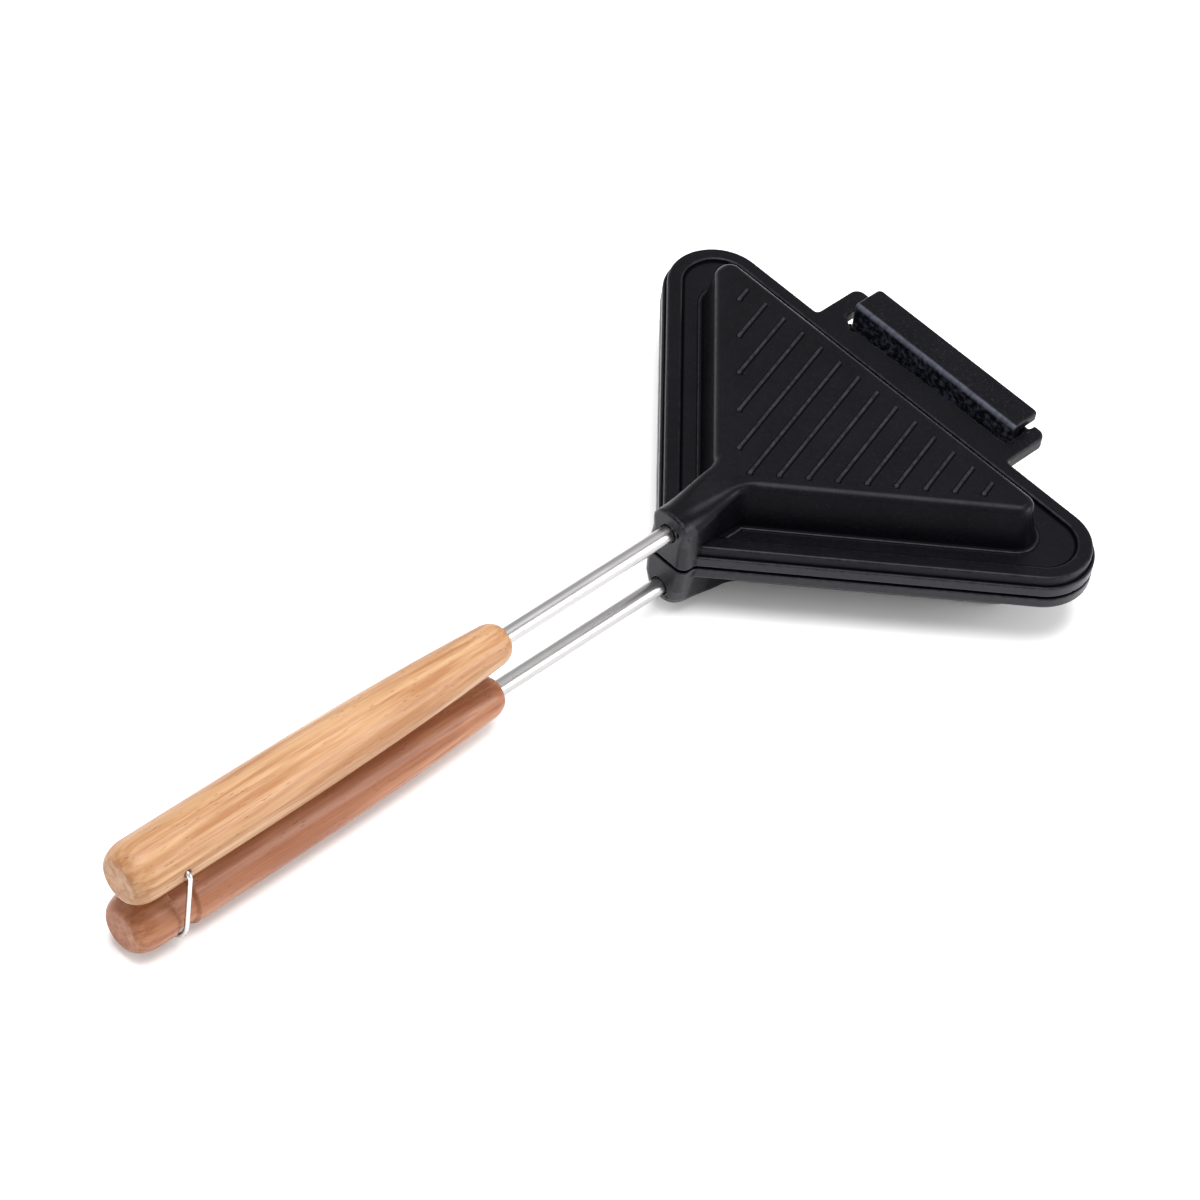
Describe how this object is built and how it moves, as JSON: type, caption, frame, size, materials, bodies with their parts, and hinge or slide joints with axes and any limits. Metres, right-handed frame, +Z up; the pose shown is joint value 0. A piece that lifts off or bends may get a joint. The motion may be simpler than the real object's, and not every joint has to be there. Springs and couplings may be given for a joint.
{
  "type": "triangular pie iron",
  "caption": "Triangular pie iron with hinged pocket plates, steel rods, turned wooden handles and a wire ring that latches the handles.",
  "frame": {"origin": "on the surface the iron lies on, below the centre of its overall length and width", "axes": "+X from the hinge towards the handles, +Y across the plates along the hinge, +Z up from the lower half to the upper half"},
  "size_m": [0.3132, 0.1606, 0.0408],
  "materials": {
    "coated_casting": "satin black non-stick coating",
    "rod_steel": "satin",
    "pin_steel": "dull",
    "light_wood": "clear lacquer",
    "warm_wood": "clear lacquer",
    "ring_wire": "bright drawn wire"
  },
  "bodies": {
    "lower_half": {"lower_plate": "coated_casting", "lower_rod": "rod_steel", "lower_lock_pin": "pin_steel", "lower_handle": "warm_wood"},
    "upper_half": {"upper_plate": "coated_casting", "upper_rod": "rod_steel", "upper_lock_pin": "pin_steel", "upper_handle": "light_wood"},
    "ring": {"latch_ring": "ring_wire"}
  },
  "joints": [
    {"name": "plate_hinge", "type": "hinge", "parent": "lower_half", "child": "upper_half", "pos_m": [-0.1518, 0, 0.0253], "axis": [0, -1, 0], "range_deg": [0, 180]},
    {"name": "ring_swing", "type": "hinge", "parent": "upper_half", "child": "ring", "pos_m": [0.1409, 0, 0.031], "axis": [0, -1, 0], "range_deg": [0, 250], "deforming": ["latch_ring"]}
  ]
}
